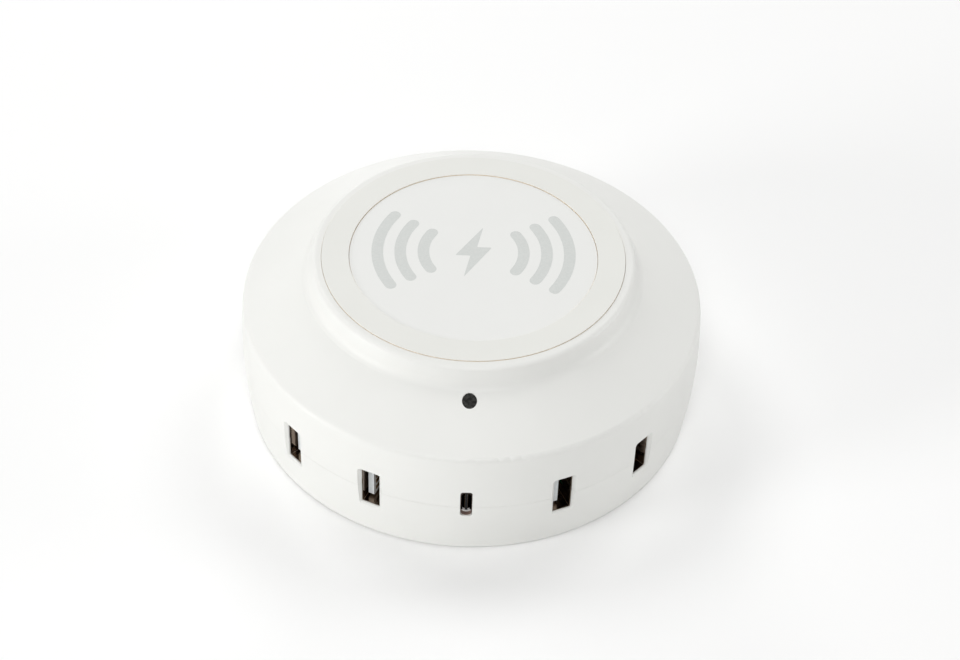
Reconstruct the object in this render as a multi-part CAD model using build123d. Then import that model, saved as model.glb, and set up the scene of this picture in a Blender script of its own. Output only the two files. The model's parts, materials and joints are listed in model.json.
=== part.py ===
from build123d import *
import os
from math import cos, radians, sin, tan

# Round desktop charging hub with a wireless pad on top, four upright USB-A sockets and one
# upright USB-C socket along the front, an indicator light on the shoulder and a mains inlet
# at the back. Millimetres. The origin is on the table under the middle of the hub, +Z is up
# and the sockets face -Y.

# ---- outer form of the case
pad_top = 52.0
foot_proud = 0.4
rim_radius = 66.0
rim_height = 36.4
rim_blend = 2.0
shoulder_slope = 27.5
belly_radius = 66.55
base_radius = 64.9
base_blend = 0.4
collar_height = 51.7
step_foot_radius = 47.7
step_slope = 72.0
step_foot_blend = 3.4
collar_blend = 1.5
wall = 2.4
seam_height = 18.7
seam_gap = 0.06
lip_thickness = 1.2
lip_height = 1.8
lip_clearance = 0.1

# ---- pad on top
ring_outer_radius = 43.2
ring_inner_radius = 35.4
ring_edge_blend = 0.12
seat_radius = 43.3
seat_height = 47.2
seat_thickness = 2.2
seat_opening_radius = 37.0
disc_radius = 35.3
disc_height = 51.7
disc_thickness = 2.0
disc_edge_blend = 0.1
ledge_radius = 33.0
clip_count = 6
clip_width = 6.0
clip_inner_radius = 35.3
clip_thickness = 1.4
clip_reach = 3.4
clip_hook = 0.9
clip_hook_height = 1.2

# ---- sockets
port_height = 18.4
port_pitch = 23.7
port_mouth = 0.9
port_land = 0.35
port_fit = 0.2
usb_a_slots = (-2, -1, 1, 2)
usb_a_hole_width = 5.5
usb_a_hole_height = 12.85
usb_a_hole_corner = 0.25
usb_a_shell_width = 5.72
usb_a_shell_height = 13.14
usb_a_shell_depth = 14.0
usb_a_sheet = 0.3
usb_a_corner = 0.6
usb_a_tongue_thickness = 1.65
usb_a_tongue_height = 11.1
usb_a_tongue_gap = 0.68
usb_a_tongue_setback = 2.1
usb_a_block_depth = 3.6
usb_a_contact_heights = (-3.5, -1.0, 1.0, 3.5)
usb_a_contact_width = 1.0
usb_a_contact_thickness = 0.2
usb_a_contact_setback = 1.2
usb_a_leg_pitch = 0.75
usb_a_leg_thickness = 0.35
usb_a_tab_places = (0.25, 0.7)
usb_a_tab_width = 1.6
usb_a_tab_length = 3.0
usb_a_window_width = 1.8
usb_a_window_length = 4.0
usb_a_window_height = 3.0
usb_c_lift = 1.6
usb_c_hole_width = 3.3
usb_c_hole_height = 9.5
usb_c_hole_corner = 0.8
usb_c_mouth = 0.03
usb_c_recess = 0.2
usb_c_shell_width = 3.2
usb_c_shell_height = 8.94
usb_c_shell_depth = 9.6
usb_c_sheet = 0.15
usb_c_sill = 0.3
usb_c_sill_setback = 1.2
usb_c_sill_length = 0.8
usb_c_sill_height = 1.1
usb_c_tongue_thickness = 0.7
usb_c_tongue_height = 6.7
usb_c_tongue_setback = 0.9
usb_c_block_depth = 1.9
usb_c_contact_count = 12
usb_c_contact_pitch = 0.5
usb_c_contact_width = 0.26
usb_c_contact_length = 3.6
usb_c_contact_thickness = 0.06
riser_thickness = 1.0
riser_radius = 57.8
riser_depth = 7.0
riser_height = 12.6

# ---- indicator light
light_radius = 50.8
light_hole_radius = 2.05
light_pipe_radius = 1.95
light_pipe_drop = 0.15
light_guide_radius = 3.3
light_guide_bottom = 36.0
shroud_radius = 3.0
shroud_height = 4.6
shroud_floor = 2.4
lamp_size = (1.6, 0.9, 0.7)

# ---- mains inlet
inlet_height = 19.0
inlet_body_width = 21.0
inlet_body_depth = 16.4
inlet_body_top = 27.0
inlet_recess_depth = 12.5
inlet_lobe_radius = 3.9
inlet_waist = 5.2
inlet_hole_clearance = 0.35
inlet_setback = 0.95
pin_pitch = 8.6
pin_radius = 1.2
pin_length = 9.5
pin_tail = 1.6

# ---- boards, posts, screws and feet
board_thickness = 1.6
power_board_bottom = 8.4
power_board_radius = 59.5
power_board_front = -19.0
port_board_inner = 47.3
port_board_outer = 62.4
port_board_half_angle = 61.0
post_radius = 4.3
post_centre_radius = 42.5
post_angles = (45.0, 135.0, 225.0, 315.0)
post_split_height = 20.0
post_clearance = 0.5
well_radius = 3.1
well_depth = 8.8
boss_radius = 3.6
case_screw_radius = 1.5
case_screw_length = 20.0
case_screw_head_radius = 2.8
case_screw_head_height = 1.8
foot_radius = 6.0
foot_height = 2.0
foot_blend = 0.6
foot_clearance = 0.2
standoff_radius = 2.8
board_screw_radius = 1.1
board_screw_head_radius = 2.2
board_screw_head_height = 1.4
board_screw_length = 4.5
power_screw_places = ((-45.0, -12.0), (45.0, -12.0), (-24.0, 47.5), (24.0, 47.5))
port_screw_angles = (-55.5, -35.55, 35.55, 55.5)
port_screw_radius = 55.0
sheet_thickness = 0.4
sheet_margin = 2.5

# ---- parts on the power board: (across X, along Y, up Z) and the place of the middle
fuse_size = (4.2, 8.4, 8.0)
fuse_place = (-15.0, 52.5)
varistor_radius = 4.5
varistor_thickness = 3.6
varistor_place = (15.5, 52.0)
film_capacitor_size = (13.0, 6.5, 11.0)
film_capacitor_place = (-14.0, 39.0)
choke_radius = 8.0
choke_bore = 4.0
choke_height = 7.0
choke_place = (8.5, 34.5)
choke_wire = 0.9
choke_winding_angle = 130.0
bridge_size = (14.5, 3.4, 10.0)
bridge_place = (-9.5, 27.5)
bulk_radius = 5.0
bulk_height = 20.0
bulk_places = ((-40.5, 13.0), (-40.5, 1.5))
core_size = (25.0, 11.0, 20.0)
core_leg = 7.0
core_yoke = 3.5
core_side = 3.5
core_place = (-9.5, 6.0)
bobbin_wall = 1.0
bobbin_fit = 0.2
bobbin_half_depth = 10.0
winding_margin = 0.5
sink_thickness = 2.0
sink_height = 20.0
sink_fin = 3.0
sink_fin_count = 4
primary_sink_length = 24.0
primary_sink_place = (-28.8, 4.0)
output_sink_length = 22.0
output_sink_place = (9.0, 3.0)
power_device_size = (4.4, 10.0, 9.0)
power_device_tab = (1.3, 10.0, 6.0)
power_device_leg = 3.0
output_can_radius = 4.0
output_can_height = 14.0
output_can_places = ((22.0, 14.0), (22.0, 4.5), (22.0, -5.0))
can_blend = 0.6
can_groove_depth = 0.35
can_groove_width = 0.6
inductor_size = (10.0, 10.0, 5.2)
inductor_blend = 1.0
inductor_place = (35.0, -4.0)
optocoupler_size = (4.6, 6.5, 3.5)
optocoupler_place = (-7.0, -11.5)
safety_capacitor_radius = 3.6
safety_capacitor_thickness = 3.2
safety_capacitor_place = (3.0, -12.0)
buck_chip_size = (7.0, 7.0, 1.6)
buck_chip_place = (35.0, 8.0)
charger_chip_size = (5.0, 4.0, 1.6)
charger_chip_radius = 55.0
charger_chip_angles = (-11.85, 11.85)

# ---- wireless charging module under the pad
coil_inner_radius = 11.0
coil_turns = 10
coil_wire = 1.3
coil_web = 0.35
coil_top = 49.6
ferrite_radius = 26.5
ferrite_thickness = 2.0
bracket_radius = 32.4
bracket_thickness = 1.5
bracket_ear_angles = (0.0, 120.0, 240.0)
bracket_ear_centre = 34.4
bracket_ear_radius = 2.3
bracket_screw_length = 4.4
coil_board_radius = 23.0
coil_board_drop = 1.8
coil_post_radius = 1.6
coil_post_centre = 19.0
coil_chip_size = (6.0, 6.0, 1.0)
coil_chip_place = (0.0, 0.0)
coil_capacitor_size = (3.2, 2.5, 1.6)
coil_capacitor_places = ((-10.0, 6.0), (-10.0, -6.0), (10.0, 6.0), (10.0, -6.0))

# ---- wires
wire_radius = 0.75
wire_bend = 3.0
wire_pitch = 2.2
supply_wire_count = 3
supply_wire_start = (39.0, -17.0)
supply_wire_end_radius = 52.0
supply_wire_end_angle = 58.0
supply_wire_fan = 3.0
supply_wire_rise = 8.0
module_wire_count = 2
module_wire_start = (30.0, 18.0)
module_wire_end = (19.0, 4.0)
module_wire_drop = 6.0
small = 0.05

# ---- levels and radii worked out from the sizes above
case_bottom = foot_proud
floor_top = case_bottom + wall
power_board_top = power_board_bottom + board_thickness
port_board_top = port_height - usb_a_shell_height / 2
port_board_bottom = port_board_top - board_thickness
belly_height = (case_bottom + rim_height) / 2
inner_belly_radius = belly_radius - wall
usb_a_front = belly_radius - port_mouth - port_land - small
usb_c_front = belly_radius - usb_c_recess
seat_bottom = seat_height - seat_thickness
ferrite_top = coil_top - coil_wire
ferrite_bottom = ferrite_top - ferrite_thickness
bracket_top = ferrite_bottom
bracket_bottom = bracket_top - bracket_thickness
coil_board_top = bracket_bottom - coil_board_drop
coil_board_bottom = coil_board_top - board_thickness
clear_height = 2 * pad_top

os.makedirs("parts", exist_ok=True)


def save(name, *shapes):
    """Write one node: every solid of the shapes given, in one file."""
    solids = [solid for shape in shapes for solid in shape.solids()]
    node = solids[0] if len(solids) == 1 else Compound(solids)
    export_step(node, f"parts/{name}.step")


def shoulder_height(radius):
    """Height of the sloping shoulder's surface at a radius."""
    return rim_height + (rim_radius - radius) * tan(radians(shoulder_slope))


def round_corner(face, radius, height, blend):
    """Blend the corner of a section that lies nearest to (radius, height)."""
    corner = face.vertices().sort_by_distance(Vector(radius, 0, height))[0]
    return face.face().fillet_2d(blend, [corner])


def section(*points):
    """A flat section in the XZ plane from (radius, height) corners."""
    return make_face(Polyline([(radius, 0, height) for radius, height in points], close=True))


def turned(face):
    """A solid of revolution about the hub's own axis."""
    return revolve(face, Axis.Z, 360)


def tube_ring(inner, outer, bottom, top):
    """A plain ring about the hub's axis."""
    return turned(section((inner, bottom), (outer, bottom), (outer, top), (inner, top)))


def block(size, place, bottom):
    """A block that stands on a level, with its middle over a place."""
    return Pos(place[0], place[1], bottom + size[2] / 2) * Box(*size)


def can(radius, height, place, bottom):
    """An upright cylinder that stands on a level."""
    return Pos(place[0], place[1], bottom + height / 2) * Cylinder(radius, height)


def polar(radius, angle):
    """A place at an angle in degrees, counted from the front towards +X."""
    return (radius * sin(radians(angle)), -radius * cos(radians(angle)))


def front_plane(radius, height=port_height):
    """A plane that faces the front, with its X along +X and its Y up."""
    return Plane((0, -radius, height), x_dir=(1, 0, 0), z_dir=(0, -1, 0))


def back_plane(distance, height):
    """A plane that faces the back, with its Y up."""
    return Plane((0, distance, height), x_dir=(-1, 0, 0), z_dir=(0, 1, 0))


def case_outline():
    """Section of the whole case: foot edge, swelling wall, rim, shoulder, step and collar."""
    step_foot = (step_foot_radius, shoulder_height(step_foot_radius))
    step_run = (collar_height - step_foot[1]) / tan(radians(step_slope))
    step_top = (step_foot_radius - step_run, collar_height)
    sides = Polyline(
        (rim_radius, 0, rim_height),
        (step_foot[0], 0, step_foot[1]),
        (step_top[0], 0, step_top[1]),
        (0, 0, collar_height),
        (0, 0, case_bottom),
        (base_radius, 0, case_bottom),
    )
    belly = ThreePointArc(
        (base_radius, 0, case_bottom),
        (belly_radius, 0, belly_height),
        (rim_radius, 0, rim_height),
    )
    face = make_face([*sides.edges(), *belly.edges()])
    face = round_corner(face, base_radius, case_bottom, base_blend)
    face = round_corner(face, rim_radius, rim_height, rim_blend)
    face = round_corner(face, *step_foot, step_foot_blend)
    return round_corner(face, *step_top, collar_blend)


def cavity_outline():
    """Section of the space inside the case, one wall thickness in from the outside."""
    drop = wall / cos(radians(shoulder_slope))
    top_radius = rim_radius - wall
    hub_radius = seat_radius + wall
    sides = Polyline(
        (top_radius, 0, shoulder_height(top_radius) - drop),
        (hub_radius, 0, shoulder_height(hub_radius) - drop),
        (seat_radius, 0, seat_bottom),
        (0, 0, seat_bottom),
        (0, 0, floor_top),
        (base_radius - wall, 0, floor_top),
    )
    belly = ThreePointArc(
        (base_radius - wall, 0, floor_top),
        (inner_belly_radius, 0, belly_height),
        (top_radius, 0, shoulder_height(top_radius) - drop),
    )
    return make_face([*sides.edges(), *belly.edges()])


def port_cut(width, height, corner, mouth_depth):
    """Hole for one socket through the wall, flared at the mouth."""
    outline = RectangleRounded(width, height, corner)
    through = extrude(front_plane(inner_belly_radius - wall) * outline, 4 * wall)
    mouth = extrude(front_plane(belly_radius - mouth_depth) * outline, wall, taper=-45)
    return through + mouth


def usb_a_cut():
    """Hole for one USB-A socket, with a pocket behind its lip that the metal shell fits in."""
    pocket_width = usb_a_shell_width + port_fit
    pocket_height = usb_a_shell_height + port_fit
    outline = RectangleRounded(pocket_width, pocket_height, usb_a_corner)
    pocket_floor = usb_a_front + small
    pocket_back = inner_belly_radius - wall
    pocket = extrude(front_plane(pocket_back) * outline, pocket_floor - pocket_back)
    return pocket + port_cut(usb_a_hole_width, usb_a_hole_height, usb_a_hole_corner, port_mouth)


def inlet_outline(extra=0.0):
    """Figure-of-eight mouth of the mains inlet."""
    lobe = Circle(inlet_lobe_radius + extra)
    lobes = Pos(pin_pitch / 2, 0) * lobe + Pos(-pin_pitch / 2, 0) * lobe
    return lobes + Rectangle(pin_pitch, inlet_waist + 2 * extra)


def wall_cuts():
    """Every hole through the side wall, for both halves of the case."""
    usb_a = usb_a_cut()
    cuts = [Rot(0, 0, slot * port_pitch) * usb_a for slot in usb_a_slots]
    usb_c = port_cut(usb_c_hole_width, usb_c_hole_height, usb_c_hole_corner, usb_c_mouth)
    cuts.append(Pos(0, 0, usb_c_lift) * usb_c)
    inlet_plane = back_plane(inner_belly_radius - wall, inlet_height)
    cuts.append(extrude(inlet_plane * inlet_outline(inlet_hole_clearance), 4 * wall))
    return cuts


post_places = [polar(post_centre_radius, angle) for angle in post_angles]
port_screw_places = [polar(port_screw_radius, angle) for angle in port_screw_angles]
case_solid = turned(case_outline())
cavity_solid = turned(cavity_outline())
holes = wall_cuts()


def make_top_cover():
    """Upper half of the case: wall, shoulder, raised collar and the seat for the pad."""
    cover = case_solid & tube_ring(0, 2 * belly_radius, seam_height + seam_gap / 2, clear_height)
    cover -= cavity_solid
    cover -= tube_ring(0, seat_radius, seat_height, clear_height)
    cover -= tube_ring(0, seat_opening_radius, seat_bottom - wall, clear_height)
    for place in post_places:
        boss_height = seat_bottom - post_split_height
        boss = can(boss_radius, boss_height + small, place, post_split_height)
        cover += boss - can(case_screw_radius, boss_height - wall, place, post_split_height)
    light_place = polar(light_radius, 0)
    guide_top = shoulder_height(light_radius) - wall
    cover += can(light_guide_radius, guide_top - light_guide_bottom, light_place, light_guide_bottom)
    cover -= can(light_hole_radius, clear_height, light_place, light_guide_bottom - wall)
    rebate_radius = inner_belly_radius + lip_thickness + lip_clearance
    cover -= tube_ring(0, rebate_radius, 0, seam_height + lip_height + lip_clearance)
    for place in post_places:
        boss_foot = can(boss_radius, lip_height, place, post_split_height)
        cover += boss_foot - can(case_screw_radius, lip_height, place, post_split_height)
    for hole in holes:
        cover -= hole
    return cover


def make_bottom_shell():
    """Lower half of the case: floor, wall, locating lip, screw posts and board standoffs."""
    shell = case_solid & tube_ring(0, 2 * belly_radius, 0, seam_height - seam_gap / 2)
    shell -= cavity_solid
    lip_outer = inner_belly_radius + lip_thickness
    shell += tube_ring(inner_belly_radius, lip_outer, seam_height - wall, seam_height + lip_height)
    post_bottom = case_bottom + wall / 2
    for place in post_places:
        shell += can(post_radius, post_split_height - post_bottom, place, post_bottom)
    for place in power_screw_places:
        shell += can(standoff_radius, power_board_bottom - floor_top + small, place, floor_top - small)
    for place in port_screw_places:
        shell += can(standoff_radius, port_board_bottom - floor_top + small, place, floor_top - small)
    for place in post_places:
        shell -= can(foot_radius + foot_clearance, foot_height, place, 0)
        shell -= can(well_radius, well_depth, place, case_bottom)
        shell -= can(case_screw_radius, post_split_height, place, case_bottom)
    power_screw_foot = power_board_top - board_screw_length
    port_screw_foot = port_board_top - board_screw_length
    for place in power_screw_places:
        shell -= can(board_screw_radius, board_screw_length, place, power_screw_foot)
    for place in port_screw_places:
        shell -= can(board_screw_radius, board_screw_length, place, port_screw_foot)
    for hole in holes:
        shell -= hole
    return shell


def make_pad_ring():
    """Flat trim ring that frames the pad, with snap clips below."""
    ledge_height = disc_height - disc_thickness
    face = section(
        (ring_outer_radius, pad_top),
        (ring_outer_radius, seat_height),
        (ledge_radius, seat_height),
        (ledge_radius, ledge_height),
        (ring_inner_radius, ledge_height),
        (ring_inner_radius, pad_top),
    )
    face = round_corner(face, ring_outer_radius, pad_top, ring_edge_blend)
    face = round_corner(face, ring_inner_radius, pad_top, ring_edge_blend)
    ring = turned(face)
    leg_size = (clip_width, clip_thickness, clip_reach + small)
    hook_size = (clip_width, clip_hook + clip_thickness, clip_hook_height)
    leg_place = (0, clip_inner_radius + clip_thickness / 2)
    hook_place = (0, clip_inner_radius + (clip_hook + clip_thickness) / 2)
    clip = block(leg_size, leg_place, seat_height - clip_reach)
    clip += block(hook_size, hook_place, seat_height - clip_reach)
    for index in range(clip_count):
        ring += Rot(0, 0, (index + 0.5) * 360 / clip_count) * clip
    for angle in bracket_ear_angles:
        place = polar(bracket_ear_centre, angle)
        ring -= can(board_screw_radius, disc_thickness, place, seat_height)
    return ring


def make_pad_disc():
    """Flat charging surface that drops into the ring, a little below its lip."""
    disc = tube_ring(0, disc_radius, disc_height - disc_thickness, disc_height)
    rim = disc.faces().sort_by(Axis.Z)[-1].edges()
    return fillet(rim, disc_edge_blend)


def make_usb_a_shell():
    """Folded metal shell of one USB-A socket, open at the front, with solder tabs below."""
    back = usb_a_front - usb_a_shell_depth
    outline = RectangleRounded(usb_a_shell_width, usb_a_shell_height, usb_a_corner)
    bore_width = usb_a_shell_width - 2 * usb_a_sheet
    bore_height = usb_a_shell_height - 2 * usb_a_sheet
    bore = RectangleRounded(bore_width, bore_height, usb_a_corner - usb_a_sheet)
    shell = extrude(front_plane(back) * outline, usb_a_shell_depth)
    shell -= extrude(front_plane(back) * bore, usb_a_shell_depth)
    window_size = (2 * usb_a_shell_width, usb_a_window_length, usb_a_window_width)
    window_place = (0, -(back + usb_a_shell_depth / 2))
    for level in (-usb_a_window_height, usb_a_window_height):
        shell -= block(window_size, window_place, port_height + level - usb_a_window_width / 2)
    tab_size = (usb_a_sheet, usb_a_tab_width, usb_a_tab_length + usb_a_corner)
    for side in (-1, 1):
        for share in usb_a_tab_places:
            across = side * (usb_a_shell_width - usb_a_sheet) / 2
            tab_place = (across, -(back + share * usb_a_shell_depth))
            shell += block(tab_size, tab_place, port_board_top - usb_a_tab_length)
    return shell


tongue_left = -usb_a_shell_width / 2 + usb_a_sheet + usb_a_tongue_gap
tongue_right = tongue_left + usb_a_tongue_thickness


def make_usb_a_contacts():
    """Four sprung contacts along the tongue, each with a leg down to the board."""
    back = usb_a_front - usb_a_shell_depth
    contacts = []
    for index, level in enumerate(usb_a_contact_heights):
        rear = back - index * usb_a_leg_pitch
        front = usb_a_front - usb_a_tongue_setback - usb_a_contact_setback
        middle = tongue_right + usb_a_contact_thickness / 2
        strip_size = (usb_a_contact_thickness, front - rear, usb_a_contact_width)
        strip_bottom = port_height + level - usb_a_contact_width / 2
        strip = block(strip_size, (middle, -(front + rear) / 2), strip_bottom)
        leg_height = strip_bottom + usb_a_contact_width - port_board_bottom + usb_a_contact_width
        leg_size = (usb_a_contact_thickness, usb_a_leg_thickness, leg_height)
        leg_place = (middle, -(rear - usb_a_leg_thickness / 2))
        contacts.append(strip + block(leg_size, leg_place, port_board_bottom - usb_a_contact_width))
    return Compound([solid for contact in contacts for solid in contact.solids()])


def make_usb_a_tongue(contacts):
    """Moulded insulator: the tongue and the block that closes the back of the shell."""
    back = usb_a_front - usb_a_shell_depth
    tip = usb_a_front - usb_a_tongue_setback
    block_front = back + usb_a_block_depth
    bore_width = usb_a_shell_width - 2 * usb_a_sheet
    bore_height = usb_a_shell_height - 2 * usb_a_sheet
    bore = RectangleRounded(bore_width, bore_height, usb_a_corner - usb_a_sheet)
    insulator = extrude(front_plane(back) * bore, usb_a_block_depth)
    tongue_size = (usb_a_tongue_thickness, tip - block_front + small, usb_a_tongue_height)
    tongue_place = ((tongue_left + tongue_right) / 2, -(tip + block_front - small) / 2)
    tongue = block(tongue_size, tongue_place, port_height - usb_a_tongue_height / 2)
    tip_edges = tongue.edges().filter_by(Axis.X).group_by(Axis.Y)[0]
    insulator += chamfer(tip_edges, usb_a_tongue_thickness / 4)
    return insulator - contacts


def usb_c_bore(sheet):
    """Outline of the space inside the USB-C shell, one sheet thickness in."""
    corner = usb_c_shell_width / 2 - sheet - small
    return RectangleRounded(usb_c_shell_width - 2 * sheet, usb_c_shell_height - 2 * sheet, corner)


def make_usb_c_shell():
    """Rounded metal shell of the USB-C socket, with a small sill across the foot of its mouth."""
    back = usb_c_front - usb_c_shell_depth
    shell = extrude(front_plane(back) * usb_c_bore(0), usb_c_shell_depth)
    shell -= extrude(front_plane(back) * usb_c_bore(usb_c_sheet), usb_c_shell_depth)
    sill_back = usb_c_front - usb_c_sill_setback - usb_c_sill_length
    sill = extrude(front_plane(sill_back) * usb_c_bore(small), usb_c_sill_length)
    sill -= extrude(front_plane(sill_back) * usb_c_bore(usb_c_sheet + usb_c_sill), usb_c_sill_length)
    keep = (2 * usb_c_shell_width, 2 * belly_radius, usb_c_sill_height)
    foot = port_height - usb_c_shell_height / 2
    return shell + (sill & block(keep, (0, 0), foot))


def make_usb_c_tongue():
    """Thin central tongue of the USB-C socket with its back block."""
    back = usb_c_front - usb_c_shell_depth
    insulator = extrude(front_plane(back) * usb_c_bore(usb_c_sheet), usb_c_block_depth)
    tip = usb_c_front - usb_c_tongue_setback
    tongue = RectangleRounded(usb_c_tongue_thickness, usb_c_tongue_height, usb_c_tongue_thickness / 3)
    return insulator + extrude(front_plane(back) * tongue, tip - back)


def make_usb_c_contacts():
    """Fine contact strips on both faces of the USB-C tongue."""
    front = usb_c_front - usb_c_tongue_setback - usb_c_sheet
    size = (usb_c_contact_thickness, usb_c_contact_length, usb_c_contact_width)
    offset = (usb_c_tongue_thickness + usb_c_contact_thickness) / 2
    strips = []
    for side in (-1, 1):
        for index in range(usb_c_contact_count):
            level = (index - (usb_c_contact_count - 1) / 2) * usb_c_contact_pitch
            place = (side * offset, -(front - usb_c_contact_length / 2))
            strips.append(block(size, place, port_height + level - usb_c_contact_width / 2))
    return strips


def make_port_board(fittings):
    """Curved board that carries the sockets, slotted for everything soldered through it."""
    ring = tube_ring(port_board_inner, port_board_outer, port_board_bottom, port_board_top)
    reach = 2 * port_board_outer
    edge = polar(reach, port_board_half_angle)
    sector = make_face(Polyline((0, 0), (-edge[0], edge[1]), (0, -2 * reach), edge, close=True))
    board = ring & extrude(sector, clear_height)
    for fitting in fittings:
        board -= fitting
    for place in port_screw_places:
        board -= can(board_screw_radius, clear_height, place, 0)
    return board


def make_light_pipe():
    """Dark acrylic rod that brings the lamp's light up to the shoulder, its top cut to the slope."""
    foot = port_board_top + shroud_floor
    rod = can(light_pipe_radius, clear_height, polar(light_radius, 0), foot)
    crown = shoulder_height(step_foot_radius) - light_pipe_drop
    under_shoulder = section(
        (0, 0),
        (rim_radius, 0),
        (rim_radius, rim_height - light_pipe_drop),
        (step_foot_radius, crown),
        (0, crown),
    )
    return rod & turned(under_shoulder)


def make_led_shroud():
    """Small collar on the board that holds the rod over the lamp."""
    place = polar(light_radius, 0)
    collar = can(shroud_radius, shroud_height, place, port_board_top)
    collar -= can(light_pipe_radius, shroud_height, place, port_board_top + shroud_floor)
    return collar - can(light_pipe_radius / 2, shroud_height, place, port_board_top)


def make_mains_inlet():
    """Moulded two-pin mains inlet with a figure-of-eight recess."""
    front = inner_belly_radius - inlet_setback
    centre = (0, front - inlet_body_depth / 2)
    size = (inlet_body_width, inlet_body_depth, inlet_body_top - power_board_top)
    body = block(size, centre, power_board_top)
    body &= tube_ring(0, front, 0, clear_height)
    recess = back_plane(front - inlet_recess_depth, inlet_height) * inlet_outline()
    body -= extrude(recess, 2 * inlet_recess_depth)
    return body


def make_inlet_pins():
    """The two round contact pins, with tails behind the inlet."""
    front = inner_belly_radius - inlet_setback
    floor = front - inlet_recess_depth
    tail = front - inlet_body_depth - pin_tail
    pins = []
    for side in (-1, 1):
        centre = Pos(side * pin_pitch / 2, 0) * Circle(pin_radius)
        pin = extrude(back_plane(tail, inlet_height) * centre, floor + pin_length - tail)
        tip = pin.faces().sort_by(Axis.Y)[-1].edges()
        pins.append(chamfer(tip, pin_radius / 3))
    return Compound([solid for pin in pins for solid in pin.solids()])


def make_power_board():
    """Board for the built-in mains supply, rounded to the case and cleared round the posts."""
    board = tube_ring(0, power_board_radius, power_board_bottom, power_board_top)
    depth = power_board_radius - power_board_front
    keep = (2 * power_board_radius, depth, clear_height)
    board &= block(keep, (0, power_board_front + depth / 2), 0)
    for place in post_places:
        board -= can(post_radius + post_clearance, clear_height, place, 0)
    for place in power_screw_places:
        board -= can(board_screw_radius, clear_height, place, 0)
    return board


def make_insulation_sheet():
    """Thin insulating sheet between the supply board and the floor of the case."""
    sheet = tube_ring(0, power_board_radius - sheet_margin, floor_top, floor_top + sheet_thickness)
    depth = power_board_radius - power_board_front
    keep = (2 * power_board_radius, depth, clear_height)
    sheet &= block(keep, (0, power_board_front + sheet_margin + depth / 2), 0)
    for place in post_places:
        sheet -= can(post_radius + post_clearance, clear_height, place, 0)
    for place in power_screw_places:
        sheet -= can(standoff_radius + post_clearance, clear_height, place, 0)
    return sheet


def make_choke_core():
    """Ferrite ring of the mains filter choke, with rounded edges."""
    size = choke_height - 2 * choke_wire
    ring = can(choke_radius - choke_wire, size, choke_place, power_board_top + choke_wire)
    ring -= can(choke_bore + choke_wire, size, choke_place, power_board_top + choke_wire)
    return ring


def make_choke_windings(core):
    """Two windings on opposite sides of the ring."""
    body = can(choke_radius, choke_height, choke_place, power_board_top)
    body -= can(choke_bore, choke_height, choke_place, power_board_top)
    reach = 2 * choke_radius
    half = choke_winding_angle / 2
    windings = []
    for middle in (0, 180):
        corners = [(0, 0)]
        for angle in (middle - half, middle, middle + half):
            corners.append((reach * cos(radians(angle)), reach * sin(radians(angle))))
        wedge = extrude(make_face(Polyline(corners, close=True)), clear_height)
        windings.append((body & (Pos(*choke_place, 0) * wedge)) - core)
    return windings


core_bottom = power_board_top
window_bottom = core_bottom + core_yoke
window_height = core_size[2] - 2 * core_yoke
window_width = (core_size[0] - core_leg) / 2 - core_side
flange_half_width = core_leg / 2 + window_width - bobbin_fit


def make_transformer_core():
    """Closed ferrite frame with a middle leg."""
    core = block(core_size, core_place, core_bottom)
    window = (window_width, core_size[1], window_height)
    for side in (-1, 1):
        offset = side * (core_leg + window_width) / 2
        core -= block(window, (core_place[0] + offset, core_place[1]), window_bottom)
    return core


def make_transformer_bobbin():
    """Moulded former round the middle leg, with flanges and two feet on the board."""
    tube_width = core_leg + 2 * (bobbin_fit + bobbin_wall)
    tube_depth = core_size[1] + 2 * (bobbin_fit + bobbin_wall)
    height = window_height - 2 * bobbin_fit
    bottom = window_bottom + bobbin_fit
    bobbin = block((tube_width, tube_depth, height), core_place, bottom)
    flange = (2 * flange_half_width, 2 * bobbin_half_depth, bobbin_wall)
    bobbin += block(flange, core_place, bottom)
    bobbin += block(flange, core_place, bottom + height - bobbin_wall)
    foot_depth = bobbin_half_depth - core_size[1] / 2 - bobbin_fit
    foot = (2 * flange_half_width, foot_depth, bottom - core_bottom + small)
    for side in (-1, 1):
        offset = side * (bobbin_half_depth - foot_depth / 2)
        bobbin += block(foot, (core_place[0], core_place[1] + offset), core_bottom)
    leg = (core_leg + 2 * bobbin_fit, core_size[1] + 2 * bobbin_fit, height)
    return bobbin - block(leg, core_place, bottom)


def make_transformer_winding():
    """Wound copper and tape between the flanges of the former."""
    tube_width = core_leg + 2 * (bobbin_fit + bobbin_wall)
    tube_depth = core_size[1] + 2 * (bobbin_fit + bobbin_wall)
    height = window_height - 2 * bobbin_fit - 2 * bobbin_wall
    bottom = window_bottom + bobbin_fit + bobbin_wall
    width = 2 * (flange_half_width - winding_margin)
    depth = 2 * (bobbin_half_depth - winding_margin)
    body = extrude(RectangleRounded(width, depth, winding_margin * 4), height)
    body = Pos(core_place[0], core_place[1], bottom) * body
    return body - block((tube_width, tube_depth, height), core_place, bottom)


def make_heat_sink(length, place, fin_side):
    """Upright plate with short fins on one side."""
    sink = block((sink_thickness, length, sink_height), place, power_board_top)
    pitch = length / sink_fin_count
    fin_size = (sink_fin + small, sink_thickness / 2, sink_height)
    for index in range(sink_fin_count):
        along = place[1] + (index - (sink_fin_count - 1) / 2) * pitch
        across = place[0] + fin_side * (sink_thickness + sink_fin) / 2
        sink += block(fin_size, (across, along), power_board_top)
    return sink


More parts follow.
